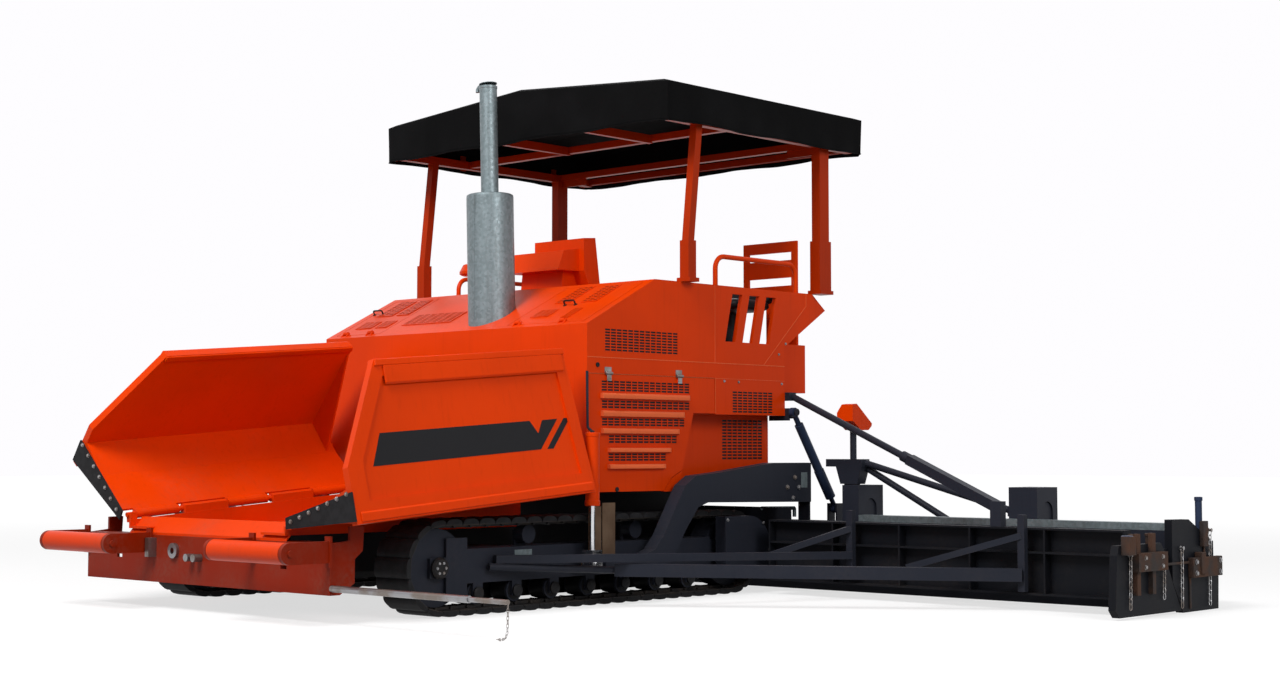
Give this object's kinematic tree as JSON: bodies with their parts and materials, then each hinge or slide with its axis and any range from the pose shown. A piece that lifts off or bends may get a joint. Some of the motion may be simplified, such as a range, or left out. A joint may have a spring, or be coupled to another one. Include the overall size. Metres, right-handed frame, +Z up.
{
  "type": "crawler asphalt paver",
  "caption": "Crawler asphalt paver with folding hopper wings, operator canopy, stack, tow arms and a wide screed with augers, braces and end gates.",
  "frame": {"origin": "on the ground at the centre of the plan of the whole machine", "axes": "+X to the left side of the machine, along the screed; -Y forwards, to the hopper; +Z up"},
  "size_m": [9.02, 5.3449, 3.638],
  "materials": {
    "orange_paint": "gloss enamel, light dust",
    "dark_paint": "satin blue-black enamel",
    "black_paint": "matt black enamel",
    "track_steel": "dull, worn",
    "bare_steel": "ground rod and pins",
    "galvanised": "dull zinc",
    "rusty_steel": "brown scale",
    "rubber": "matt",
    "canvas": "woven coated cloth",
    "seat_vinyl": "grained",
    "engine_iron": "rough",
    "chain_steel": "galvanised links"
  },
  "bodies": {
    "root": {"air_intake": "orange_paint", "auger_case": "black_paint", "beam_fittings": "bare_steel", "body_sides": "orange_paint", "canopy_cover": "canvas", "canopy_frame": "orange_paint", "channel_braces": "dark_paint", "channel_plates": "dark_paint", "channel_struts": "dark_paint", "chassis_frame": "black_paint", "console": "orange_paint", "conveyors": "track_steel", "cooler": "engine_iron", "engine": "engine_iron", "exhaust": "galvanised", "front_beam": "orange_paint", "hood": "orange_paint", "hopper_center": "orange_paint", "leveling_cylinders": "orange_paint", "lift_mounts": "dark_paint", "operator_well": "orange_paint", "platform_rails": "orange_paint", "pointer_chain": "chain_steel", "pointer_rod": "bare_steel", "rear_bulkhead": "black_paint", "roller_arms": "orange_paint", "seats": "seat_vinyl", "tow_guides": "rusty_steel", "tow_slides": "bare_steel", "track_frames": "dark_paint", "track_left": "track_steel", "track_right": "track_steel"},
    "wing_left": {"wing_left": "orange_paint", "wing_flap_left": "rubber"},
    "wing_right": {"wing_right": "orange_paint", "wing_flap_right": "rubber"},
    "push_roller_left": {"push_roller_left": "orange_paint"},
    "push_roller_right": {"push_roller_right": "orange_paint"},
    "side_door_left": {"side_door_left": "orange_paint"},
    "side_door_right": {"side_door_right": "orange_paint"},
    "hood_lid_left": {"hood_lid_left": "orange_paint"},
    "hood_lid_right": {"hood_lid_right": "orange_paint"},
    "auger_left": {"auger_left": "track_steel"},
    "auger_right": {"auger_right": "track_steel"},
    "lift_barrel_left": {"lift_barrel_left": "dark_paint"},
    "lift_barrel_right": {"lift_barrel_right": "dark_paint"},
    "lift_rod_left": {"lift_rod_left": "bare_steel"},
    "lift_rod_right": {"lift_rod_right": "bare_steel"},
    "screed": {"arm_mounts": "dark_paint", "control_boxes": "orange_paint", "end_gates": "dark_paint", "gate_clamps": "rusty_steel", "screed_body": "dark_paint", "screed_masts": "dark_paint", "screed_strips": "galvanised", "screed_walkway": "dark_paint", "tow_arms": "dark_paint"}
  },
  "joints": [
    {"name": "wing_left_tilt", "type": "hinge", "parent": "root", "child": "wing_left", "pos_m": [0.86, -2.3, 0.585], "axis": [0, -0.9968, -0.0802], "range_deg": [0, 45]},
    {"name": "wing_right_tilt", "type": "hinge", "parent": "root", "child": "wing_right", "pos_m": [-0.86, -2.3, 0.585], "axis": [0, 0.9968, 0.0802], "range_deg": [-31.1, 13.9]},
    {"name": "push_roller_left_spin", "type": "hinge", "parent": "root", "child": "push_roller_left", "pos_m": [0.911, -2.61, 0.42], "axis": [1, 0, 0], "continuous": true},
    {"name": "auger_left_spin", "type": "hinge", "parent": "root", "child": "auger_left", "pos_m": [2.0775, 1.69, 0.25], "axis": [1, 0, 0], "continuous": true},
    {"name": "side_door_left_swing", "type": "hinge", "parent": "root", "child": "side_door_left", "pos_m": [1.37, 0, 1.51], "axis": [0, -1, 0], "range_deg": [0, 80]},
    {"name": "hood_lid_left_swing", "type": "hinge", "parent": "root", "child": "hood_lid_left", "pos_m": [0, -0.249, 1.8671], "axis": [1, 0, 0], "range_deg": [0, 60]},
    {"name": "push_roller_right_spin", "type": "hinge", "parent": "root", "child": "push_roller_right", "pos_m": [-0.911, -2.61, 0.42], "axis": [1, 0, 0], "continuous": true},
    {"name": "auger_right_spin", "type": "hinge", "parent": "root", "child": "auger_right", "pos_m": [-2.0775, 1.69, 0.25], "axis": [1, 0, 0], "continuous": true},
    {"name": "side_door_right_swing", "type": "hinge", "parent": "root", "child": "side_door_right", "pos_m": [-1.37, 0, 1.51], "axis": [0, 1, 0], "range_deg": [0, 80]},
    {"name": "hood_lid_right_swing", "type": "hinge", "parent": "root", "child": "hood_lid_right", "pos_m": [0, -0.249, 1.8671], "axis": [1, 0, 0], "range_deg": [0, 60]},
    {"name": "screed_lift", "type": "hinge", "parent": "root", "child": "screed", "pos_m": [0, -0.335, 0.27], "axis": [1, 0, 0], "range_deg": [0, 3.5]},
    {"name": "lift_barrel_left_swing", "type": "hinge", "parent": "root", "child": "lift_barrel_left", "pos_m": [1.42, 1.793, 1.28], "axis": [1, 0, 0], "range_deg": [0, 5.8]},
    {"name": "lift_rod_left_slide", "type": "slide", "parent": "lift_barrel_left", "child": "lift_rod_left", "axis": [0, -0.5767, 0.8169], "range_m": [0, 0.1409]},
    {"name": "lift_barrel_right_swing", "type": "hinge", "parent": "root", "child": "lift_barrel_right", "pos_m": [-1.42, 1.793, 1.28], "axis": [1, 0, 0], "range_deg": [0, 5.8]},
    {"name": "lift_rod_right_slide", "type": "slide", "parent": "lift_barrel_right", "child": "lift_rod_right", "axis": [0, -0.5767, 0.8169], "range_m": [0, 0.1409]}
  ],
  "couplings": [
    {"joint": "lift_barrel_left_swing", "follows": "screed_lift", "ratio": 1.6556},
    {"joint": "lift_rod_left_slide", "follows": "screed_lift", "m_per_rad": 2.2977},
    {"joint": "lift_barrel_right_swing", "follows": "screed_lift", "ratio": 1.6556},
    {"joint": "lift_rod_right_slide", "follows": "screed_lift", "m_per_rad": 2.2977}
  ]
}
